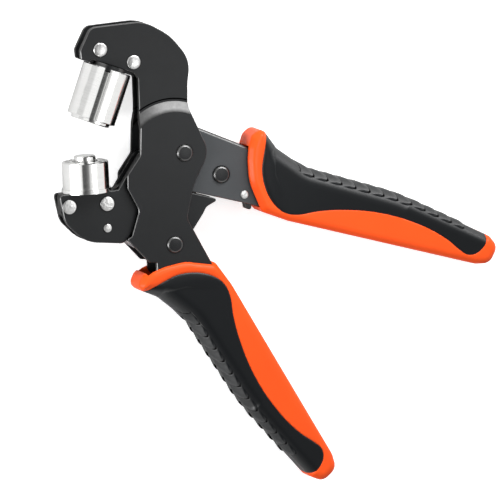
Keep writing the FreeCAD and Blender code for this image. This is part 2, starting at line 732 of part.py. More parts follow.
def lower_die_body():
    """Stepped round die with a flange, a well for the pilot, a clip groove and a stud."""
    low = -size("lower_die_height")
    flange = Part.makeCylinder(DIE_RADIUS, size("flange_height"), Vector(0, 0, low))
    column = Part.makeCylinder(DIE_RADIUS - size("die_step"), size("lower_die_height"), Vector(0, 0, low))
    stud_low = Vector(0, 0, low - size("die_stud_length"))
    stud = Part.makeCylinder(size("die_stud_radius"), size("die_stud_length"), stud_low)
    body = flange.fuse([column, stud]).removeSplitter()
    rims = circles(body, lambda edge: edge.BoundBox.ZMin > -0.01)
    body = body.makeChamfer(size("edge_bevel"), rims)
    depth = size("pilot_well_depth")
    well = Part.makeCylinder(PILOT_WELL_RADIUS, depth, Vector(0, 0, -depth))
    clip = Part.makeCylinder(PILOT_WELL_RADIUS + size("clip_bite"), size("clip_thickness"),
                             Vector(0, 0, CLIP_LOW))
    groove = Part.makeTorus(size("pilot_radius") + size("die_groove_reach"), size("groove_depth"))
    return body.cut([well, clip, groove])


shaped("lower_die_body", lower_die_body(), LOWER_DIE)


def pilot_clip():
    """Open ring in the die's groove that keeps the pilot in its well."""
    low = Vector(0, 0, CLIP_LOW)
    thickness = size("clip_thickness")
    width = size("clip_opening")
    ring = Part.makeCylinder(PILOT_WELL_RADIUS + size("clip_bite"), thickness, low)
    hole = Part.makeCylinder(PILOT_GUIDE_RADIUS + size("running_gap"), thickness, low)
    opening = Part.makeBox(width, THROUGH, thickness, low - Vector(width / 2, 0, 0))
    return ring.cut([hole, opening])


shaped("pilot_clip", pilot_clip(), LOWER_DIE)
headed_pin("jaw_rivets", JAW_RIVETS, "Sizes.rivet_radius", "Sizes.rivet_head_radius",
           "Sizes.rivet_head_height", JAW_OUT)
headed_pin("spring_pin", [SPRING_PIN], SMALL, "Sizes.small_head_radius",
           "Sizes.small_head_height", JAW_OUT)

# ---------------------------------------------------------------- pilot
tip = size("pilot_stand_out")
shoulder = size("pilot_radius")
recess = size("pilot_recess_radius")
recess_top = PILOT_LOW + size("pilot_recess_depth")
keep(turned_body("lower_die_pilot", [
    (0, recess_top), (recess, recess_top), (recess, PILOT_LOW), (PILOT_FLANGE_RADIUS, PILOT_LOW),
    (PILOT_FLANGE_RADIUS, PILOT_TOP), (PILOT_GUIDE_RADIUS, PILOT_TOP), (PILOT_GUIDE_RADIUS, 0),
    (shoulder, 0), (shoulder, tip - size("pilot_bevel")), (shoulder - size("pilot_bevel"), tip),
    (0, tip)], LOWER_DIE), "lower_die_pilot")


def coil(radius, wire, length, turns):
    """Round wire wound about Z from height 0 to length."""
    helix = Part.makeHelix(length / turns, length, radius)
    section = Part.Wire([Part.makeCircle(wire, Vector(radius, 0, 0), Vector(0, 1, 0))])
    return Part.Wire(helix).makePipeShell([section], True, True)


def pilot_spring():
    """Compression spring between the well's floor and the pilot."""
    wire = size("pilot_spring_wire")
    radius = PILOT_FLANGE_RADIUS - size("pilot_spring_inset")
    low = wire + size("running_gap") - size("pilot_well_depth")
    high = PILOT_LOW - wire - size("running_gap")
    spring = coil(radius, wire, high - low, size("pilot_spring_turns"))
    spring.translate(Vector(0, 0, low))
    return spring


shaped("pilot_spring", pilot_spring(), LOWER_DIE)


def spring_eye(pin_alias, height, side):
    """Round eye about a pin, with the straight shank that joins it to the winding."""
    wire = size("spring_wire_radius")
    radius = size(pin_alias) + size("spring_eye_gap") + wire
    eye = Part.makeTorus(radius, wire, Vector(0, 0, height), Vector(0, 1, 0))
    rim = height + side * radius
    end = SPRING_WINDING_LOW if side > 0 else SPRING_WINDING_HIGH
    low, high = sorted((rim - side * wire / 2, end + side * wire / 2))
    shank = Part.makeCylinder(wire, high - low, Vector(0, 0, low))
    spoke = Part.makeCylinder(wire, size("spring_coil_radius"), Vector(0, 0, end), Vector(1, 0, 0))
    return [eye, shank, spoke]


def return_spring():
    """Close-wound extension spring with an eye at each end."""
    wire = size("spring_wire_radius")
    turns = int(size("spring_coil_length") / (2 * wire + size("running_gap")))
    winding = coil(size("spring_coil_radius"), wire, size("spring_coil_length"), turns)
    winding.translate(Vector(0, 0, SPRING_WINDING_LOW))
    ends = spring_eye("small_pin_radius", 0, 1) + spring_eye("spring_post_radius", SPRING_RUN.Length, -1)
    spring = winding.fuse(ends)
    along = Vector(SPRING_RUN).normalize()
    turn = FreeCAD.Rotation(Vector(-along.y, along.x, 0), Z_AXIS, along, "ZXY")
    spring.Placement = FreeCAD.Placement(SPRING_PIN, turn)
    return spring


SPRING_RUN = SPRING_POST - SPRING_PIN
SPRING_WINDING_LOW = (SPRING_RUN.Length - size("spring_coil_length")) / 2
SPRING_WINDING_HIGH = SPRING_WINDING_LOW + size("spring_coil_length")
shaped("return_spring", return_spring())

# ---------------------------------------------------------------- link
link_holes = [LINK_SPOT + (RUNNING,), KNUCKLE_SPOT + ("Sizes.knuckle_radius + Sizes.knuckle_gap",)]
keep(plate("toggle_link", link_outline(), "-Sizes.core_thickness / 2", "Sizes.core_thickness",
           link_holes), "toggle_link")


# ---------------------------------------------------------------- handle
channel_holes = [HANDLE_SPOT + ("Sizes.pin_radius",), KNUCKLE_SPOT + ("Sizes.knuckle_radius",),
                 ("Sizes.plug_pin_x", "Sizes.plug_pin_y", SMALL)]
channel = plate("handle_channel", rounded(handle_corners()), f"-({CHEEK_OUT})", f"2 * ({CHEEK_OUT})",
                channel_holes)
inside_sketch = channel.newObject("Sketcher::SketchObject", "channel_inside")
inside_sketch.AttachmentSupport = [(origin_plane(channel, "XY_Plane"), "")]
inside_sketch.MapMode = "FlatFace"
add_outline(inside_sketch, rounded(web_corners()))
pocket = channel.newObject("PartDesign::Pocket", "channel_pocket")
pocket.Profile = inside_sketch
pocket.Midplane = True
pocket.setExpression("Length", "Sizes.core_thickness + 2 * Sizes.side_play")
channel.Tip = pocket
doc.recompute()


BACK_LINE = Part.makePolygon([CHANNEL_CORNER, grip_point("upper", 5.8, 8.4),
                              grip_point("upper", size("tang_length"), 5.5)])
CHANNEL_WIRE = outline_face(handle_corners(), 0).OuterWire


def lies_on(edge, line, reach):
    """Whether an edge of a cheek's outer face runs along a line of the outline."""
    if not (on_outline(edge, CHEEK_HALF) or on_outline(edge, -CHEEK_HALF)):
        return False
    middle = edge.valueAt((edge.FirstParameter + edge.LastParameter) / 2)
    return line.distToShape(Part.Vertex(Vector(middle.x, middle.y, 0)))[0] < reach


dress(channel, "Fillet", "channel_bend", lambda edge: lies_on(edge, BACK_LINE, size("channel_bend") / 2))
dress(channel, "Chamfer", "sheet_bevel", lambda edge: lies_on(edge, CHANNEL_WIRE, size("running_gap")))
keep(channel, "handle_channel")

WASHER_OUT = f"{CHEEK_OUT} + Sizes.washer_thickness"
headed_pin("handle_pin", [HANDLE_PIN], "Sizes.pin_radius", "Sizes.pin_head_radius",
           "Sizes.pin_head_height", WASHER_OUT)
ring_pair("handle_washers", HANDLE_PIN, size("washer_radius"), size("pin_radius"), CHEEK_HALF,
          CHEEK_HALF + size("washer_thickness"))
keep(barrel("knuckle_pin", "Sizes.knuckle_radius", f"-({CHEEK_OUT})", CHEEK_OUT, KNUCKLE),
     "knuckle_pin")

plug_corners = near(PLUG_PIN, (-3.6, 3.1, 2.5), (10.0, 12.6, 3), (27.0, 6.9, 2), (24.0, -4.4, 2),
                    (4.9, -5.6, 0.6), (4.8, -8.4, 1.2), (2.2, -8.2, 1.2), (1.6, -5.0, 0.6),
                    (-3.4, -3.4, 1.5))
keep(plate("channel_plug", rounded(plug_corners), "-Sizes.core_thickness / 2 - Sizes.side_play",
           "Sizes.core_thickness + 2 * Sizes.side_play",
           [("Sizes.plug_pin_x", "Sizes.plug_pin_y", SMALL)]), "channel_plug")
headed_pin("plug_pin", [PLUG_PIN], SMALL, "Sizes.small_head_radius", "Sizes.small_head_height",
           CHEEK_OUT)


# ---------------------------------------------------------------- grips
def grip_solids(side, tang, tang_half):
    """Hard core and soft cover of one grip, both fitted round the metal tang."""
    half = size("grip_thickness") / 2
    body = prism(grip_corners(side), -half, half)
    flat = [edge for edge in body.Edges
            if abs(abs(edge.BoundBox.ZMin) - half) < 0.01 and edge.BoundBox.ZLength < 0.01]
    body = body.makeFillet(size("grip_edge"), flat)
    body = body.cut(prism(tang, -tang_half, tang_half))
    region = prism(cover_corners(side), -half, half)
    return body.cut(region), body.common(region)


for side, tang, tang_half in (("lower", frame_corners(), FRAME_HALF),
                              ("upper", handle_corners(), CHEEK_HALF)):
    core, cover = grip_solids(side, tang, tang_half)
    shaped(f"{side}_grip_core", core)
    shaped(f"{side}_grip_cover", cover)

# ---------------------------------------------------------------- checks, origin and files
doc.recompute()


def check():
    for item in doc.Objects:
        if "Invalid" in item.State or "Error" in item.State:
            raise RuntimeError(f"{item.Label} is {item.State}")
    for item in SUB_PARTS:
        if item.Shape.isNull() or not item.Shape.isValid() or not item.Shape.Solids:
            raise RuntimeError(f"{item.Label} has no valid solid")


check()
bounds = FreeCAD.BoundBox()
for item in SUB_PARTS:
    bounds.add(item.Shape.optimalBoundingBox(False, False))
shift = FreeCAD.Placement(Vector(-bounds.Center.x, -bounds.Center.y, -bounds.ZMin), FreeCAD.Rotation())
ready = []
for item in SUB_PARTS:
    shape = item.Shape.copy()
    shape.Placement = shift.multiply(shape.Placement)
    ready.append((item.Label, shape))

os.makedirs("parts", exist_ok=True)
for label, shape in ready:
    shape.exportStep(f"parts/{label}.step")
    print(label, len(shape.Solids), round(shape.Volume / 1000, 3), "cm3")

for name, spot in (("pivot", PIVOT), ("link", LINK_PIN), ("handle", HANDLE_PIN), ("knuckle", KNUCKLE),
                   ("lower_face", LOWER_FACE), ("mouth", MOUTH)):
    place = shift.multVec(spot)
    print("place", name, round(place.x, 4), round(place.y, 4), round(place.z, 4))
print("size", round(bounds.XLength, 2), round(bounds.YLength, 2), round(bounds.ZLength, 2))
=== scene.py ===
"""Hand eyelet pliers on a white floor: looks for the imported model, in metres, in its own frame.

Lengths below are millimetres from the jaw's pivot pin (x right, y towards the head, z up from the
middle of the tool's thickness), and place() turns them into the frame's metres.
"""
import json
import math

import bmesh
import bpy
import numpy as np
from mathutils import Matrix, Vector


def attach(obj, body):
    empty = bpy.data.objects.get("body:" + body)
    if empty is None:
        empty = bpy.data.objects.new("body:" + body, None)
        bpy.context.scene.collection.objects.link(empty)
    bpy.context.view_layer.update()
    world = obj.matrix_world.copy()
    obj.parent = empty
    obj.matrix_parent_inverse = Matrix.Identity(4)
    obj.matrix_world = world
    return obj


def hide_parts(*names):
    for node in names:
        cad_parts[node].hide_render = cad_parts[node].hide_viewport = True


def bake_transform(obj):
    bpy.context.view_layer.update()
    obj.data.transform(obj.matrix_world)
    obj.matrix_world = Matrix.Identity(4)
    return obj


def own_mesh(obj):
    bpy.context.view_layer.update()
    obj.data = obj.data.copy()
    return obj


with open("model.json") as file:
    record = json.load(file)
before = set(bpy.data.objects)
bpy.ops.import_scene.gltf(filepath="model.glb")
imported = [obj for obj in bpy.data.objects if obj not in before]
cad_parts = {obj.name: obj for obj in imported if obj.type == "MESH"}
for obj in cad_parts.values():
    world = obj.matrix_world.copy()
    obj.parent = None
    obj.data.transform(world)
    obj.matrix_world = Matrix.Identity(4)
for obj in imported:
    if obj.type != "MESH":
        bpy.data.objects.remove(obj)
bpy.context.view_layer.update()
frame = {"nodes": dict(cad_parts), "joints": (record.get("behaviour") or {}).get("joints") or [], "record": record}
NODES = frame["nodes"]
JOINTS = {joint["name"]: joint for joint in frame["joints"]}
PIVOT = Vector(JOINTS["jaw_pivot"]["pos_m"])
MM = 0.001


def place(x, y, z=0.0):
    """A point given in millimetres from the pivot pin, in the frame's metres."""
    return PIVOT + Vector((x, y, z)) * MM


# ---------------------------------------------------------------- shader helpers
class Graph:
    """A node tree, with short calls for the chains of nodes that are wanted again and again."""

    def __init__(self, tree):
        self.nodes = tree.nodes
        self.links = tree.links

    def node(self, kind, **settings):
        """A new shader node of a kind, with its settings."""
        made = self.nodes.new("ShaderNode" + kind)
        for key, value in settings.items():
            setattr(made, key, value)
        return made

    def join(self, value, socket):
        """A socket follows an output, or takes a plain value."""
        if isinstance(value, bpy.types.NodeSocket):
            self.links.new(value, socket)
        else:
            socket.default_value = value

    def math(self, operation, *values):
        """A Math node on outputs and plain numbers."""
        made = self.node("Math", operation=operation)
        for value, socket in zip(values, made.inputs):
            self.join(value, socket)
        return made.outputs[0]

    def spread(self, value, low, high, low_at=0.35, high_at=0.65):
        """An output turned into a number: low up to low_at, high from high_at on."""
        made = self.node("MapRange")
        numbers = {"From Min": low_at, "From Max": high_at, "To Min": low, "To Max": high}
        for name, number in numbers.items():
            made.inputs[name].default_value = number
        self.links.new(value, made.inputs["Value"])
        return made.outputs["Result"]

    def mix(self, kind, socket_type, factor, first, second):
        """A Mix node of a data type, whose sockets for it have their own type name."""
        made = self.node("Mix", data_type=kind)
        self.join(factor, made.inputs["Factor"])
        for name, value in (("A", first), ("B", second)):
            self.join(value, next(item for item in made.inputs
                                  if item.name == name and item.type == socket_type))
        return next(item for item in made.outputs if item.type == socket_type)

    def blend(self, factor, first, second):
        """A colour between two colours or colour outputs."""
        both = [(*colour, 1) if isinstance(colour, tuple) else colour
                for colour in (first, second)]
        return self.mix("RGBA", "RGBA", factor, *both)

    def choose(self, factor, first, second):
        """A number between two numbers or outputs."""
        return self.mix("FLOAT", "VALUE", factor, first, second)

    def tone(self, value, tones):
        """A grey tone picked by an output, from (value, tone) pairs in rising order."""
        low, high = tones[0][0], tones[-1][0]
        ramp_node = self.node("ValToRGB")
        self.links.new(self.spread(value, 0, 1, low, high), ramp_node.inputs["Fac"])
        spots = ramp_node.color_ramp.elements
        while len(spots) < len(tones):
            spots.new(0.5)
        for spot, (at, tone) in zip(spots, tones):
            spot.position = (at - low) / (high - low)
            spot.color = (tone, tone, tone, 1)
        return ramp_node.outputs["Color"]

    def seen_directly(self):
        """1 for camera, glossy and transmission rays, 0 for the rays that light things."""
        path = self.node("LightPath")
        total = self.math("MAXIMUM", path.outputs["Is Camera Ray"], path.outputs["Is Glossy Ray"])
        return self.math("MAXIMUM", total, path.outputs["Is Transmission Ray"])

    def mirrored(self):
        """1 for glossy rays."""
        return self.node("LightPath").outputs["Is Glossy Ray"]


class Shader(Graph):
    """A Principled material, with its noises, bumps and the mesh's own coordinates."""

    def __init__(self, name, **values):
        self.material = bpy.data.materials.new(name)
        self.material.use_nodes = True
        super().__init__(self.material.node_tree)
        self.main = self.nodes["Principled BSDF"]
        source = self.node("TexCoord")
        self.coordinates = source.outputs["Object"]
        self.normal = source.outputs["Normal"]
        for socket, value in values.items():
            self.main.inputs[socket.replace("_", " ")].default_value = value

    def feed(self, socket, value):
        """An output varies one of the material's own values over the surface."""
        self.links.new(value, self.main.inputs[socket])

    def noise(self, per_metre, detail=3.0, rough=0.55, vector=None):
        """A noise from 0 to 1, with about so many waves in a metre."""
        made = self.node("TexNoise")
        for name, number in {"Scale": per_metre, "Detail": detail, "Roughness": rough}.items():
            made.inputs[name].default_value = number
        self.links.new(vector or self.coordinates, made.inputs["Vector"])
        return made.outputs["Fac"]

    def attribute(self, name):
        """A number stored on the mesh's points, 0 where the mesh has none."""
        return self.node("Attribute", attribute_name=name).outputs["Fac"]

    def split(self, vector):
        """The X, Y and Z outputs of a vector."""
        made = self.node("SeparateXYZ")
        self.links.new(vector, made.inputs[0])
        return made.outputs

    def facing(self):
        """How squarely the surface looks along z: 0 on a plate's side, 1 on its face."""
        return self.math("ABSOLUTE", self.split(self.normal)["Z"])

    def bump(self, height, distance_mm):
        """Relief from a height output, on top of any bump that is there already."""
        made = self.node("Bump")
        made.inputs["Distance"].default_value = distance_mm * MM
        self.links.new(height, made.inputs["Height"])
        if self.main.inputs["Normal"].is_linked:
            before = self.main.inputs["Normal"].links[0].from_socket
            self.links.new(before, made.inputs["Normal"])
        self.links.new(made.outputs["Normal"], self.main.inputs["Normal"])


# ---------------------------------------------------------------- materials
BEND_CENTRE = (-5.5, -2.8)      # the frame plates' bend runs round this point
# painted shade: tones that blacken the bend's colour and dim its sheen, with a dark line along its top
BEND_PAINTED_SHADE = [(24.0, 1.0), (24.6, 1.0), (24.75, 0.2), (26.6, 1.0), (31.0, 0.8), (31.15, 0.0),
              (31.7, 0.0), (31.85, 1.0), (33.0, 1.0)]     # distance from it in mm, and tone
SHEET_GLOSS = 0.16
SHEET_TINT = (0.94, 1.0, 1.06)  # a cold black
# painted shade: a plate's sides, black whichever way the light falls
SIDE_PAINTED_SHADE = (0.004, 0.004, 0.004)
SIDE_ON = 0.35                  # |normal z| below which a plate's side is painted black as shade
SIDE_BLUR = 0.2
FACE_ON = 0.92                  # |normal z| above which it shows its face, past its bevel
FACE_BLUR = 0.03
CLOUDS = 60                     # waves in a metre of the faint clouding, of wear and of grain
WEAR = 420
GRAIN = 2600
DENTS = 650
TURNED_ACROSS = 40              # how much finer turned steel's marks are along its axis
# painted shade: a black ring on each rivet's rim, standing in for its contact shadow
RIVET_RIM_SHADE = (0.01, 0.01, 0.01)
RIM_SHADE_ON = (0.3, 0.6)             # |normal z| over which a rivet's painted rim shade gives way to its face
STEP_SHADE_EDGE = (0.045, 0.1)        # shares of a rib's pitch: its painted step shade is full, and is gone
CREST_HIGHLIGHT_RISE = (0.6, 0.86)        # the painted highlight on the crest before the step
CREST_HIGHLIGHT_FALL = (0.88, 0.92)
# how much lighter the painted crest highlight is than the plastic's colour
CREST_HIGHLIGHT = 0.03
BACK_TO_SIDE = (0.75, 0.97)     # |normal z| over which a grip's polish changes


def tinted(colour, factor):
    """A darker or lighter tone of a colour."""
    return tuple(channel * factor for channel in colour)


def bend_painted_shade(shader):
    """Painted shade on the frame plates' bend: a painted dark line along its top, bright below it, dying away
    downwards.
    """
    spot = shader.split(shader.coordinates)
    flat = shader.node("CombineXYZ")
    for axis in "XY":
        shader.links.new(spot[axis], flat.inputs[axis])
    reach = shader.node("VectorMath", operation="DISTANCE")
    shader.links.new(flat.outputs[0], reach.inputs[0])
    centre = place(*BEND_CENTRE)
    reach.inputs[1].default_value = (centre.x, centre.y, 0)
    tone = shader.tone(reach.outputs["Value"], [(radius * MM, grey) for radius, grey in BEND_PAINTED_SHADE])
    above = shader.spread(spot["Y"], 0, 1, centre.y, centre.y + MM)
    return shader.blend(above, (1, 1, 1), tone)


def dark_sheet(name, shade, roughness=0.42, edge=0.1, paint_bend_shade=False):
    """Blackened sheet steel: fine grain, faint clouding, its sides painted black as shade, a bright bevel with
    wear, and painted shade on the frame plates' bend.
    """
    shader = Shader(name, Specular_IOR_Level=SHEET_GLOSS)
    square = shader.facing()
    base = tinted(SHEET_TINT, shade)
    clouds = shader.spread(shader.noise(CLOUDS, 4), 0, 1)
    face = shader.blend(clouds, tinted(base, 0.94), tinted(base, 1.06))
    wear = shader.spread(shader.noise(WEAR, 4, 0.7), 0, 1, 0.3, 0.7)
    bevel = shader.blend(wear, (edge * 0.85,) * 3, (edge * 1.15,) * 3)
    on_face = shader.spread(square, 0, 1, FACE_ON - FACE_BLUR, FACE_ON + FACE_BLUR)
    past_side_shade = shader.spread(square, 0, 1, SIDE_ON, SIDE_ON + SIDE_BLUR)
    # painted shade: the sides turn black, the bevel and face keep their own colour
    colour = shader.blend(past_side_shade, SIDE_PAINTED_SHADE, shader.blend(on_face, bevel, face))
    if paint_bend_shade:
        # painted shade: the bend's dark line, and its colour and sheen dimmed by the painted tones
        tone = bend_painted_shade(shader)
        colour = shader.blend(tone, (0, 0, 0), colour)
        shader.feed("Specular IOR Level", shader.spread(tone, 0, SHEET_GLOSS, 0, 1))
    shader.feed("Base Color", colour)
    shader.feed("Metallic", shader.spread(square, 1, 0, FACE_ON - FACE_BLUR, FACE_ON + FACE_BLUR))
    grain = shader.noise(GRAIN, 2)
    shader.feed("Roughness", shader.spread(grain, roughness - 0.05, roughness + 0.07))
    shader.bump(grain, 0.012)
    return shader.material


def plated_steel(name, colour, roughness=0.2, axis=None, rim=False):
    """Bright steel. An axis in degrees gives the rings of a lathe across it, None a dented skin. With rim, its rim
    is painted black as shade.
    """
    shader = Shader(name, Metallic=1.0)
    if axis is None:
        marks = shader.noise(2400, 3)
        shader.bump(shader.noise(DENTS, 1), 0.2)
    else:
        rings = shader.node("Mapping", vector_type="TEXTURE")
        rings.inputs["Rotation"].default_value = (0, 0, math.radians(axis))
        rings.inputs["Scale"].default_value = (1, TURNED_ACROSS, TURNED_ACROSS)
        shader.links.new(shader.coordinates, rings.inputs["Vector"])
        marks = shader.noise(GRAIN, 4, 0.7, rings.outputs["Vector"])
    skin = shader.blend(shader.spread(marks, 0, 1), tinted(colour, 0.93), colour)
    # painted shade: the rim blackened as a contact shadow
    if rim:
        skin = shader.blend(shader.spread(shader.facing(), 0, 1, *RIM_SHADE_ON), RIVET_RIM_SHADE, skin)
    shader.feed("Base Color", skin)
    shader.feed("Roughness", shader.spread(marks, roughness - 0.04, roughness + 0.05))
    shader.bump(marks, 0.004)
    return shader.material


def rib_painted_light(shader):
    """The painted shade in each rib's step and the painted highlight on its crest, from what the ribbed mesh has
    stored.
    """
    turns = shader.attribute("rib_turn")
    depth = shader.attribute("rib_depth")
    step = shader.spread(shader.math("PINGPONG", turns, 0.5), 1, 0, *STEP_SHADE_EDGE)
    share = shader.math("FRACT", turns)
    crest = shader.math("MULTIPLY", shader.spread(share, 0, 1, *CREST_HIGHLIGHT_RISE),
                        shader.spread(share, 1, 0, *CREST_HIGHLIGHT_FALL))
    return [shader.math("MULTIPLY", mark, depth) for mark in (step, crest)]


def moulded(name, colour, roughness, grain_mm=0.01, gloss=0.3, back_gloss=None):
    """Moulded plastic with a fine skin. A grip has ribs, with painted shade in their steps and a painted highlight
    on their crests, and a polish of its own on its back.
    """
    shader = Shader(name, Metallic=0.0, Specular_IOR_Level=gloss)
    clouds = shader.spread(shader.noise(45, 3), 0, 1)
    skin_colour = shader.blend(clouds, tinted(colour, 0.95), colour)
    if back_gloss is not None:
        # painted highlight on each rib's crest, painted shade and no gloss in its step
        step, crest = rib_painted_light(shader)
        crest_highlight_colour = tuple(channel + CREST_HIGHLIGHT for channel in colour)
        skin_colour = shader.blend(crest, skin_colour, crest_highlight_colour)
        skin_colour = shader.blend(step, skin_colour, tinted(colour, 0.05))
        polish = shader.spread(shader.facing(), back_gloss, gloss, *BACK_TO_SIDE)
        off_step_shade = shader.spread(step, 1, 0, 0, 1)
        shader.feed("Specular IOR Level", shader.math("MULTIPLY", polish, off_step_shade))
    shader.feed("Base Color", skin_colour)
    skin = shader.noise(3200, 2)
    shader.feed("Roughness", shader.spread(skin, roughness - 0.05, roughness + 0.05))
    shader.bump(skin, grain_mm)
    return shader.material


FRAME_BLACK = dark_sheet("frame_black", 0.011, paint_bend_shade=True)
JAW_BLACK = dark_sheet("jaw_black", 0.011)
HANDLE_GREY = dark_sheet("handle_grey", 0.055, 0.4)
PIN_BLACK = dark_sheet("pin_black", 0.01, 0.3)
UPPER_STEEL = plated_steel("upper_die_steel", (0.72, 0.72, 0.71), 0.14, 71.2)
LOWER_STEEL = plated_steel("lower_die_steel", (0.72, 0.72, 0.71), 0.14, 92.7)
RIVET_STEEL = plated_steel("rivet_steel", (0.45, 0.45, 0.445), 0.34, rim=True)
SPRING_STEEL = plated_steel("spring_steel", (0.4, 0.4, 0.41), 0.3)
ORANGE = moulded("orange_plastic", (0.91, 0.088, 0.01), 0.36, 0.01, 0.22, 0.16)
RUBBER = moulded("black_rubber", (0.0045, 0.0053, 0.0062), 0.42, 0.02, 0.13, 0.6)
PLUG_BLACK = moulded("plug_black", (0.01, 0.01, 0.011), 0.3)

FINISH = {
    "black_sheet": JAW_BLACK, "handle_steel": HANDLE_GREY, "black_pins": PIN_BLACK,
    "washer_steel": PIN_BLACK, "die_steel": UPPER_STEEL, "rivet_steel": RIVET_STEEL,
    "spring_steel": SPRING_STEEL, "orange_plastic": ORANGE, "black_rubber": RUBBER,
    "black_plastic": PLUG_BLACK,
}
SLOT_OF = {part["node"]: part["material_slot"] for part in frame["record"]["subparts"]}
BODIES = frame["record"]["behaviour"]["bodies"]
BODY_OF = {node: body for body, nodes in BODIES.items() for node in nodes}
for name, node in NODES.items():
    finish = FINISH[SLOT_OF[name]]
    if name.startswith("frame_plate"):
        finish = FRAME_BLACK
    if name.startswith("lower_die"):
        finish = LOWER_STEEL
    node.data.materials.clear()
    node.data.materials.append(finish)


# ---------------------------------------------------------------- mesh helpers
def stand_for(piece, node):
    """A piece takes a CAD node's place, body and material slot."""
    piece.data.materials.clear()
    piece.data.materials.append(FINISH[SLOT_OF[node]])
    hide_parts(node)
    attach(piece, BODY_OF[node])


def new_piece(name, mesh):
    """An object for a mesh, in the scene."""
    piece = bpy.data.objects.new(name, mesh)
    bpy.context.scene.collection.objects.link(piece)
    return piece


def smooth(mesh, degrees):
    """Smooth shading, with sharp edges where faces meet at more than an angle."""
    mesh.shade_smooth()
    mesh.set_sharp_from_angle(angle=math.radians(degrees))


def applied(piece, *steps):
    """Adds modifiers, given as (kind, {setting: value}), and bakes them into the mesh."""
    for kind, values in steps:
        step = piece.modifiers.new(kind, kind)
        for key, value in values.items():
            setattr(step, key, value)
    bpy.context.view_layer.update()
    graph = bpy.context.evaluated_depsgraph_get()
    mesh = bpy.data.meshes.new_from_object(piece.evaluated_get(graph))
    piece.modifiers.clear()
    old = piece.data
    piece.data = mesh
    bpy.data.meshes.remove(old)
    return piece


def coordinates(mesh):
    """The vertices' places, as rows."""
    spots = np.empty(len(mesh.vertices) * 3)
    mesh.vertices.foreach_get("co", spots)
    return spots.reshape(-1, 3)


def normals(mesh):
    """The vertices' normals, as rows."""
    ways = np.empty(len(mesh.vertices) * 3)
    mesh.vertices.foreach_get("normal", ways)
    return ways.reshape(-1, 3)


def move_to(mesh, spots):
    """Moves the vertices to new places."""
    mesh.vertices.foreach_set("co", np.asarray(spots, dtype=np.float64).ravel())
    mesh.update()


def ramp(value, low, high):
    """0 below low, 1 above high and a smooth rise between."""
    share = np.clip((value - low) / (high - low), 0, 1)
    return share * share * (3 - 2 * share)


def rounded_line(corners, spacing=0.8):
    """Points along a closed line of (x, y, radius) corners, each corner rounded by its radius."""
    points = []
    count = len(corners)
    for index, (x, y, radius) in enumerate(corners):
        spot = np.array((x, y))
        back = np.array(corners[index - 1][:2]) - spot
        on = np.array(corners[(index + 1) % count][:2]) - spot
        back = back / np.hypot(*back)
        on = on / np.hypot(*on)
        half = math.acos(float(np.clip(back @ on, -1, 1))) / 2
        middle = (back + on) / np.hypot(*(back + on))
        centre = spot + middle * radius / math.sin(half)
        start = spot + back * radius / math.tan(half) - centre
        end = spot + on * radius / math.tan(half) - centre
        sweep = math.atan2(start[0] * end[1] - start[1] * end[0], start @ end)
        steps = max(2, int(abs(sweep) * radius / spacing) + 1)
        for step in range(steps + 1):
            turn = sweep * step / steps
            points.append(centre + (start[0] * math.cos(turn) - start[1] * math.sin(turn),
                                    start[0] * math.sin(turn) + start[1] * math.cos(turn)))
    return np.array(points)


def curve_through(points, steps=6):
    """A smooth line through the given points (Catmull-Rom), left open at both ends."""
    spots = np.array(points, dtype=float)
    spots = np.vstack((2 * spots[0] - spots[1], spots, 2 * spots[-1] - spots[-2]))
    line = []
    for before, start, end, after in zip(spots, spots[1:], spots[2:], spots[3:]):
        for share in np.arange(steps) / steps:
            line.append(0.5 * (2 * start + (end - before) * share
                               + (2 * before - 5 * start + 4 * end - after) * share ** 2
                               + (3 * start - before - 3 * end + after) * share ** 3))
    return np.array(line + [spots[-2]])


BLOCK = 6000            # about how many spots are measured at a time


def nearest(spots, line, closed=True):
    """For each 2-D spot: distance to a line, the point there, and its place counted in points."""
    ends = np.roll(line, -1, axis=0) if closed else line[1:]
    starts = line if closed else line[:-1]
    runs = ends - starts
    lengths = np.maximum((runs ** 2).sum(axis=1), 1e-12)
    found = []
    for block in np.array_split(spots, max(1, len(spots) // BLOCK)):
        offset = block[:, None, :] - starts[None]
        share = np.clip((offset * runs[None]).sum(axis=2) / lengths[None], 0, 1)
        gap = offset - share[..., None] * runs[None]
        squared = (gap ** 2).sum(axis=2)
        best = squared.argmin(axis=1)
        row = np.arange(len(block))
        found.append(np.column_stack((np.sqrt(squared[row, best]), block - gap[row, best],
                                      best + share[row, best])))
    table = np.vstack(found)
    return table[:, 0], table[:, 1:3], table[:, 3]


def prism(name, line, low, high):
    """A closed solid over a 2-D line, between two heights."""
    count = len(line)
    spots = [(*point, low) for point in line] + [(*point, high) for point in line]
    faces = [tuple(reversed(range(count))), tuple(range(count, 2 * count))]
    faces += [(k, (k + 1) % count, (k + 1) % count + count, k + count) for k in range(count)]
    mesh = bpy.data.meshes.new(name)
    mesh.from_pydata(spots, [], faces)
    shape = bmesh.new()
    shape.from_mesh(mesh)
    bmesh.ops.recalc_face_normals(shape, faces=shape.faces)
    shape.to_mesh(mesh)
    shape.free()
    return new_piece(name, mesh)


def combined(piece, tool, operation):
    """A piece after an exact boolean with a tool."""
    step = ("BOOLEAN", {"object": tool, "operation": operation, "solver": "EXACT"})
    return applied(piece, step)


def discard(piece):
    """Takes a tool out of the scene again."""
    mesh = piece.data
    bpy.data.objects.remove(piece)
    bpy.data.meshes.remove(mesh)


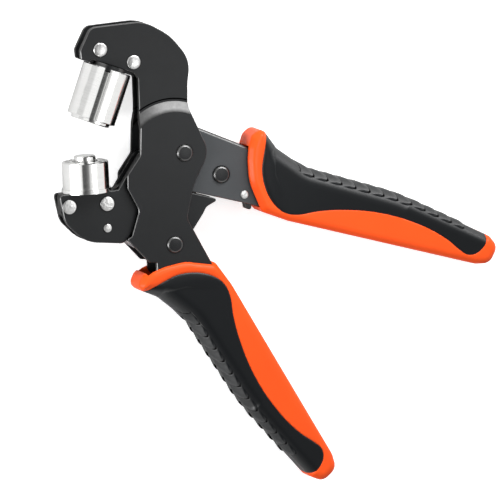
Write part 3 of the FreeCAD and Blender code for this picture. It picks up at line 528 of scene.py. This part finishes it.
# ---------------------------------------------------------------- grips
GRIP_HALF = 11.5        # half the grip's thickness, at its mouth bead
SIDE_DROP = 0.9         # how far its sides lie below the bead
BACK_ROUND = 9.0        # rounding of the back, which the palm holds
EDGE_ROUND = 4.5        # rounding of every other edge
MOUTH_ROUND = 3.4       # rounding of the mouth
ROUND_EASING = 6        # how often the change between two roundings is smoothed
GRIP_VOXEL = 0.65
SKIN_DEPTH = 0.5        # a point nearer to a face than this lies on it
LINE_DEPTH = 0.3        # a point nearer to the outline than this takes its way inwards
PAST_GRIP = 20          # a height that is past the grip
GRIP_CORNERS = [(-13.2, 2.2, 25), (-15.4, 9.2, 8), (-16.0, 14.6, 4.5), (-13.1, 19.8, 4.0),
                (-9.4, 19.4, 5), (0.5, 13.6, 12), (20, 8.9, 25), (73, 13.3, 90), (128.5, 9.4, 5),
                (134.9, 5.7, 5.5), (134.2, -4.2, 6), (126.5, -7.2, 8), (19.5, -20.4, 13),
                (4.2, -20.7, 3.6), (-8.1, -8.3, 30)]      # along, out, and the corner's radius
MOUTH_LINE = [corner[:2] for corner in (*GRIP_CORNERS[3::-1], *GRIP_CORNERS[:-3:-1])]
COVER_CURVE = [(-9.8, 24), (-8.3, 17), (-6.7, 8), (-4.4, -0.6), (0.6, -8.4), (7.4, -14.2),
               (15.2, -16.9), (23.2, -15.4), (33, -10), (45, -5), (60, -0.6), (76, 1.8), (92, 1.9),
               (105, 0), (114, -2.9), (119.6, -4), (124.2, -1.7), (126.8, 3), (126.9, 7.4),
               (125, 11), (122, 16)]                      # where orange meets black
COVER_LINE = curve_through(COVER_CURVE)
COLLAR_LEAN = 0.52      # the mouth's collar ends along a line that leans so
COLLAR_FADE = (-9, 1)   # distance from it over which the collar rises
COLLAR_REACH = 14       # how far from the mouth it goes
BEAD_WIDTH = 0.8        # the power that widens its bead, below 1
RIB_COUNT = 12
RIB_FIRST = 17.0        # where the first rib's step crosses the middle of the back
RIB_PITCH = 8.1
RIB_RISE = 0.8
RIB_CROWN = 0.55        # share of that rise in the middle of the back, up to RIB_FULL of arc
RIB_FULL = 5
RIB_TOP = (0.85, 0.95)  # shares of the pitch between which a rib is at its highest
RIB_SWEEP = 7.2         # how far a rib's step leans towards the tip on its way down the side
RIB_REACH = 10.6        # arc length from the middle of the back to a rib's end
RIB_FADE = 1.2          # arc length over which it ends
RIB_LEANS_TO = 9.2      # arc length up to which it leans so
RIB_HOOK = 0.9          # how sharply its end hooks back from there
RIB_DIP = 0.35          # depth of the groove at its step
RIB_DIP_WIDTH = 0.45
LONG_EDGE = 0.4         # a longer edge is halved before the ribs are raised
SEAM_DEPTH = 0.3
ON_SEAM = 0.02          # a point nearer to the seam's line than this lies on it


class Grip:
    """One grip in its own millimetres: along from the mouth, out to its back, and z."""

    def __init__(self, side, origin, degrees, turn, cavity, cavity_half):
        self.side = side
        way = math.radians(degrees)
        along = Vector((math.cos(way), math.sin(way), 0))
        out = Vector((-along.y, along.x, 0)) * turn
        columns = Matrix((along, out, Vector((0, 0, 1)))).transposed().to_4x4()
        self.matrix = Matrix.Translation(place(*origin)) @ Matrix.Scale(MM, 4) @ columns
        self.line = rounded_line(GRIP_CORNERS)
        self.round = self.edge_rounds()
        core = self.body()
        region = prism("region", COVER_LINE, -PAST_GRIP, PAST_GRIP)
        cover = new_piece(f"{side}_grip_rubber", core.data.copy())
        core = combined(core, region, "DIFFERENCE")
        cover = combined(cover, region, "INTERSECT")
        discard(region)
        pocket = prism("pocket", rounded_line(cavity), -cavity_half, cavity_half)
        core = combined(core, pocket, "DIFFERENCE")
        discard(pocket)
        self.rib(cover)
        for piece, part, angle in ((core, "core", 40), (cover, "cover", 50)):
            self.seam(piece)
            piece.data.transform(self.matrix)
            if turn < 0:
                piece.data.flip_normals()
            smooth(piece.data, angle)
            stand_for(piece, f"{side}_grip_{part}")

    def edge_rounds(self):
        """Rounding radius at each point of the outline, eased from stretch to stretch."""
        along, out = self.line.T
        radius = np.full(len(self.line), EDGE_ROUND)
        radius[(out > 4) & (along > -6) & (along < 122)] = BACK_ROUND
        radius[(along < 2) & (out < 12) & (out > -19)] = MOUTH_ROUND
        for _ in range(ROUND_EASING):
            radius = (np.roll(radius, 1) + radius * 2 + np.roll(radius, -1)) / 4
        return radius

    def section(self, spots):
        """Distance from the outline, the way inwards, and the rounding radius, for each spot."""
        distance, foot, order = nearest(spots[:, :2], self.line)
        low = order.astype(int) % len(self.line)
        high = (low + 1) % len(self.line)
        share = order - order.astype(int)
        radius = self.round[low] * (1 - share) + self.round[high] * share
        run = self.line[high] - self.line[low]
        side = np.column_stack((run[:, 1], -run[:, 0]))
        side /= np.maximum(np.hypot(*side.T), 1e-9)[:, None]
        inward = spots[:, :2] - foot
        close = distance < LINE_DEPTH
        inward[~close] /= distance[~close][:, None]
        inward[close] = side[close]
        return distance, foot, inward, radius

    def body(self):
        """The whole grip: a remeshed prism whose edges are drawn onto round arcs."""
        piece = prism("grip", self.line, -GRIP_HALF, GRIP_HALF)
        piece = applied(piece, ("REMESH", {"mode": "VOXEL", "voxel_size": GRIP_VOXEL}))
        spots = coordinates(piece.data)
        distance, foot, inward, radius = self.section(spots)
        height = np.abs(spots[:, 2])
        sign = np.sign(spots[:, 2])
        across = distance - radius
        above = height - (GRIP_HALF - radius)
        arc = (across < 0) & (above > 0)
        size = np.maximum(np.hypot(across, above), 1e-6)
        new_distance = np.where(arc, radius + across / size * radius, distance)
        new_height = np.where(arc, GRIP_HALF - radius + above / size * radius, height)
        wall = ~arc & (distance < SKIN_DEPTH) & (above <= 0)
        new_distance[wall] = 0
        new_height[(across >= 0) & (height > GRIP_HALF - SKIN_DEPTH)] = GRIP_HALF
        new_height += self.swell(spots, new_height, radius)
        flat = foot + inward * new_distance[:, None]
        near = new_distance < radius + SKIN_DEPTH
        spots[near, :2] = flat[near]
        spots[:, 2] = sign * new_height
        move_to(piece.data, spots)
        return piece

    def swell(self, spots, height, radius):
        """How far a side lies below the mouth's bead: 0 on its crest, SIDE_DROP away from it."""
        flat = spots[:, :2]
        from_mouth, _, _ = nearest(flat, np.array(MOUTH_LINE), closed=False)
        from_cover, _, _ = nearest(flat, COVER_LINE)
        share = from_mouth / np.maximum(from_mouth + from_cover, 1e-6)
        collar = ramp(-(flat[:, 0] + COLLAR_LEAN * flat[:, 1]), *COLLAR_FADE)
        collar = collar * (from_mouth < COLLAR_REACH)
        bead = np.sin(math.pi * np.clip(share, 0, 1)) ** BEAD_WIDTH * collar
        side = np.clip((height - (GRIP_HALF - radius)) / radius, 0, 1)
        return side * (bead * SIDE_DROP - SIDE_DROP)

    def rib(self, cover):
        """Scalloped ribs over the back, on a mesh made finer there, and stored for its finish."""
        shape = bmesh.new()
        shape.from_mesh(cover.data)
        first = RIB_FIRST - 3
        last = RIB_FIRST + RIB_COUNT * RIB_PITCH + 2

        def coarse(edge):
            middle = (edge.verts[0].co + edge.verts[1].co) / 2
            return first < middle.x < last and middle.y > 2 and edge.calc_length() > LONG_EDGE
        edges = [edge for edge in shape.edges if coarse(edge)]
        bmesh.ops.subdivide_edges(shape, edges=edges, cuts=1, use_grid_fill=True)
        shape.normal_update()
        shape.to_mesh(cover.data)
        shape.free()
        spots = coordinates(cover.data)
        ways = normals(cover.data)
        distance, _, _, radius = self.section(spots)
        height = np.abs(spots[:, 2])
        low = GRIP_HALF - SIDE_DROP - radius
        angle = np.arctan2(np.clip(height - low, 0, None), np.clip(radius - distance, 1e-6, None))
        arc = np.where(height < low, height, low + radius * angle)
        arc = arc + np.clip(distance - radius, 0, None)
        past = np.clip(arc - RIB_LEANS_TO, 0, None)
        lean = RIB_SWEEP * ramp(arc, 0, RIB_LEANS_TO) - RIB_HOOK * past ** 2
        turns = (spots[:, 0] - RIB_FIRST - lean) / RIB_PITCH
        whole = np.floor(turns)
        share = turns - whole
        on = ((whole >= -1) & (whole < RIB_COUNT - 1)).astype(float) * (spots[:, 1] > 0)
        fade = 1 - ramp(arc, RIB_REACH - RIB_FADE, RIB_REACH)
        rise = ramp(share, 0.0, RIB_TOP[0]) * (1 - ramp(share, RIB_TOP[1], 1.0))
        rise = rise * (RIB_CROWN + (1 - RIB_CROWN) * ramp(arc, 0, RIB_FULL))
        dip = np.exp(-((np.minimum(share, 1 - share) * RIB_PITCH) / RIB_DIP_WIDTH) ** 2)
        lift = (rise * RIB_RISE - dip * RIB_DIP) * fade * on
        spots += ways * lift[:, None]
        move_to(cover.data, spots)
        for name, values in (("rib_turn", turns), ("rib_depth", fade * on)):
            stored = cover.data.attributes.new(name, "FLOAT", "POINT")
            stored.data.foreach_set("value", values.astype(np.float32))

    def seam(self, piece):
        """A fine groove where the two colours meet."""
        spots = coordinates(piece.data)
        distance, _, _ = nearest(spots[:, :2], COVER_LINE)
        on_seam = distance < ON_SEAM
        spots[on_seam, 2] -= np.sign(spots[on_seam, 2]) * SEAM_DEPTH
        move_to(piece.data, spots)


# The cavities that take the metal at the mouths, out past them.
LOWER_CAVITY = [(-40, -18.7, 0.5), (3.2, -18.7, 0.5), (8.0, -16.8, 0.5), (8.0, 7.2, 0.5),
                (2, 8.0, 1), (-2, 12.2, 3), (-40, 12.2, 1)]
UPPER_CAVITY = [(-40, -18.9, 0.5), (2.6, -18.9, 0.5), (8, -17.0, 0.5), (8, 8.2, 0.5),
                (4, 9.2, 0.5), (-40, 9.2, 0.5)]
Grip("lower", (-1.7, -67.9), -51.9, -1, LOWER_CAVITY, 9.9)
Grip("upper", (46.5, -12.1), -21.5, 1, UPPER_CAVITY, 7.8)


# ---------------------------------------------------------------- turned pins and rivets
PIN_SPAN = 9.0          # vertices nearer to each other than this belong to one pin
BUTTON_RADIUS = 4.2
BUTTON_RISE = 1.2


def centres(node):
    """Where the pins of a node stand, from its mesh: the middle of each group of vertices."""
    groups = []
    for vertex in NODES[node].data.vertices:
        spot = vertex.co.xy
        for group in groups:
            if (group[0] - spot).length < PIN_SPAN * MM:
                group.append(spot)
                break
        else:
            groups.append([spot])
    found = []
    for group in groups:
        xs = [spot.x for spot in group]
        ys = [spot.y for spot in group]
        found.append(Vector(((min(xs) + max(xs)) / 2, (min(ys) + max(ys)) / 2)))
    return found


def turned(name, node, profile, steps=72):
    """Pins turned about z from a profile of (radius, height) in mm, the same at both ends."""
    shape = bmesh.new()
    both = profile + [(radius, -height) for radius, height in reversed(profile)]
    for centre in centres(node):
        rings = []
        for radius, height in both:
            if radius == 0:
                rings.append([shape.verts.new((centre.x, centre.y, PIVOT.z + height * MM))])
                continue
            ring = []
            for step in range(steps):
                turn = 2 * math.pi * step / steps
                ring.append(shape.verts.new((centre.x + radius * MM * math.cos(turn),
                                             centre.y + radius * MM * math.sin(turn),
                                             PIVOT.z + height * MM)))
            rings.append(ring)
        for first, second in zip(rings, rings[1:]):
            for k in range(steps):
                corners = [first[k % len(first)], first[(k + 1) % len(first)],
                           second[(k + 1) % len(second)], second[k % len(second)]]
                corners = list(dict.fromkeys(corners))
                shape.faces.new(corners)
    bmesh.ops.recalc_face_normals(shape, faces=shape.faces)
    mesh = bpy.data.meshes.new(name)
    shape.to_mesh(mesh)
    shape.free()
    smooth(mesh, 30)
    stand_for(new_piece(name, mesh), node)


def arc_profile(radius, low, rise, steps=9):
    """A dome's profile from its middle down to its rim."""
    turns = [math.pi / 2 * k / steps for k in range(steps + 1)]
    return [(radius * math.sin(turn), low + rise * math.cos(turn)) for turn in turns]


def button_head(base, shaft, flange):
    """Flat round head with a wide shallow bevel, standing in a low ring."""
    radius = BUTTON_RADIUS
    top = base + BUTTON_RISE
    return [(0, top), (radius - 1.1, top), (radius - 0.95, top - 0.03), (radius - 0.1, top - 0.52),
            (radius, top - 0.66), (radius, base + 0.12), (radius + 0.08, base + 0.05),
            (flange - 0.16, base + 0.22), (flange - 0.04, base + 0.18), (flange, base + 0.02),
            (shaft, base)]


def domed_head(radius, base, rise, shaft, lip=0.3):
    """A dome over a short rim, and the shaft under it."""
    return arc_profile(radius, base, rise) + [(radius - 0.05, base - lip), (shaft, base - lip)]


turned("pivot_pin_turned", "pivot_pin", button_head(9.3, 3.0, 4.75))
turned("link_pin_turned", "link_pin", button_head(9.3, 3.0, 4.6))
turned("handle_pin_turned", "handle_pin", button_head(6.65, 3.0, 4.7))
turned("head_rivets_turned", "head_rivets", domed_head(3.7, 6.3, 0.8, 2.5))
turned("jaw_rivets_turned", "jaw_rivets", domed_head(3.7, 6.75, 0.3, 2.5, 0.6))
turned("plug_pin_turned", "plug_pin", domed_head(2.15, 6.45, 0.3, 1.6))
turned("spring_pin_turned", "spring_pin", domed_head(2.15, 6.45, 0.3, 1.6))


def wire_copy(node):
    """A spring's own mesh as a new piece, with the CAD node hidden."""
    wire = new_piece(node + "_coil", NODES[node].data.copy())
    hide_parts(node)
    return wire


def stretching_spring():
    """The return spring, as its own mesh baked into place."""
    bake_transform(wire_copy("return_spring"))


def squeezed_spring():
    """The pilot's spring, as its own mesh, carried with the jaw."""
    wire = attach(wire_copy("pilot_spring"), "jaw")
    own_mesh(wire)


stretching_spring()
squeezed_spring()


# ---------------------------------------------------------------- camera
def look(camera, right, up, target, distance):
    """Stands the camera off a target, with given rightward and upward directions."""
    back = right.cross(up).normalized()
    up = back.cross(right).normalized()
    turn = Matrix((right.normalized(), up, back)).transposed()
    camera.matrix_world = Matrix.Translation(target + back * distance) @ turn.to_4x4()


IMAGE_PIXELS = 500
PIXELS_PER_MM = 1.9
CAMERA_DISTANCE = 6.0                   # metres
SENSOR_WIDTH = 36.0
VIEW_CENTRE = (38.9, -53.9)             # the image's middle, in mm from the pivot pin
VIEW_RIGHT = Vector((0.952, 0, 0.307))
VIEW_UP = Vector((0, 0.99, -0.132))
camera_data = bpy.data.cameras.new("camera")
camera_data.sensor_width = SENSOR_WIDTH
camera_data.lens = SENSOR_WIDTH * CAMERA_DISTANCE / (IMAGE_PIXELS / PIXELS_PER_MM * MM)
camera_data.clip_start = 0.1
camera_data.clip_end = 30.0
camera = bpy.data.objects.new("camera", camera_data)
bpy.context.scene.collection.objects.link(camera)
look(camera, VIEW_RIGHT, VIEW_UP, place(*VIEW_CENTRE), CAMERA_DISTANCE)
bpy.context.scene.camera = camera


# ---------------------------------------------------------------- floor and lights
FLOOR_HALF = 3.0                        # metres
FLOOR_GLOW = 0.7
MIRROR_LOSS = 0.65                      # how much less of that glow metal mirrors
DIE_ACROSS = (0.947, -0.322, 0.0)       # square to the fixed die's axis, towards the neck
MIRROR_TONES = [(-1.0, 0.92), (-0.9, 0.92), (-0.84, 1.3), (-0.47, 1.35), (-0.42, 0.08),
                (-0.15, 0.14), (0.06, 0.32), (0.16, 1.0), (0.5, 1.2), (1.0, 1.2)]
MIRROR_PEAK = 1.4                       # more than any of these tones, which a ramp holds below 1
SURROUNDINGS = 0.35                     # how strongly they light the tool


def white_floor():
    """A floor that looks white to the camera, is dim in mirrors, and keeps a soft shadow."""
    corners = [(-FLOOR_HALF, -FLOOR_HALF, 0), (FLOOR_HALF, -FLOOR_HALF, 0),
               (FLOOR_HALF, FLOOR_HALF, 0), (-FLOOR_HALF, FLOOR_HALF, 0)]
    mesh = bpy.data.meshes.new("floor")
    mesh.from_pydata(corners, [], [(0, 1, 2, 3)])
    floor = new_piece("floor", mesh)
    shader = Shader("floor_white", Roughness=1.0, Base_Color=(0.8, 0.8, 0.8, 1),
                    Specular_IOR_Level=0.0, Emission_Color=(1, 1, 1, 1))
    glow = shader.math("MULTIPLY", shader.seen_directly(), FLOOR_GLOW)
    dimmed = shader.math("MULTIPLY_ADD", shader.mirrored(), -MIRROR_LOSS, glow)
    shader.feed("Emission Strength", dimmed)
    mesh.materials.append(shader.material)


def soft_box(name, direction, distance, size, power, target=(0, 0, 0)):
    """A rectangular lamp, in metres and watts, in a direction from a target, hidden itself."""
    light = bpy.data.lights.new(name, "AREA")
    light.shape = "RECTANGLE"
    light.size, light.size_y = size
    light.energy = power
    lamp = bpy.data.objects.new(name, light)
    lamp.visible_camera = False
    bpy.context.scene.collection.objects.link(lamp)
    way = Vector(direction).normalized()
    lamp.location = Vector(target) + way * distance
    lamp.rotation_mode = "QUATERNION"
    lamp.rotation_quaternion = way.to_track_quat("Z", "Y")


def world_light():
    """White surroundings, which a mirror sees in tones that change across the fixed die."""
    world = bpy.data.worlds.new("studio")
    world.use_nodes = True
    graph = Graph(world.node_tree)
    across = graph.node("VectorMath", operation="DOT_PRODUCT")
    graph.links.new(graph.node("TexCoord").outputs["Generated"], across.inputs[0])
    across.inputs[1].default_value = DIE_ACROSS
    tones = [(at, tone / MIRROR_PEAK) for at, tone in MIRROR_TONES]
    level = graph.math("MULTIPLY", graph.tone(across.outputs["Value"], tones), MIRROR_PEAK)
    seen = graph.choose(graph.mirrored(), 1.0, level)
    background = graph.nodes["Background"].inputs
    background["Color"].default_value = (1, 1, 1, 1)
    graph.links.new(graph.choose(graph.seen_directly(), SURROUNDINGS, seen), background["Strength"])
    bpy.context.scene.world = world


white_floor()
soft_box("top", (0.3, 0.78, 0.53), 0.9, (0.9, 0.3), 11)
soft_box("left", (-0.94, -0.12, 0.30), 0.9, (0.3, 0.6), 7)
soft_box("head", (0.305, -0.126, 0.944), 0.22, (0.1, 0.1), 0.1, place(-5, 32))
world_light()
bpy.context.scene.view_settings.view_transform = "Standard"
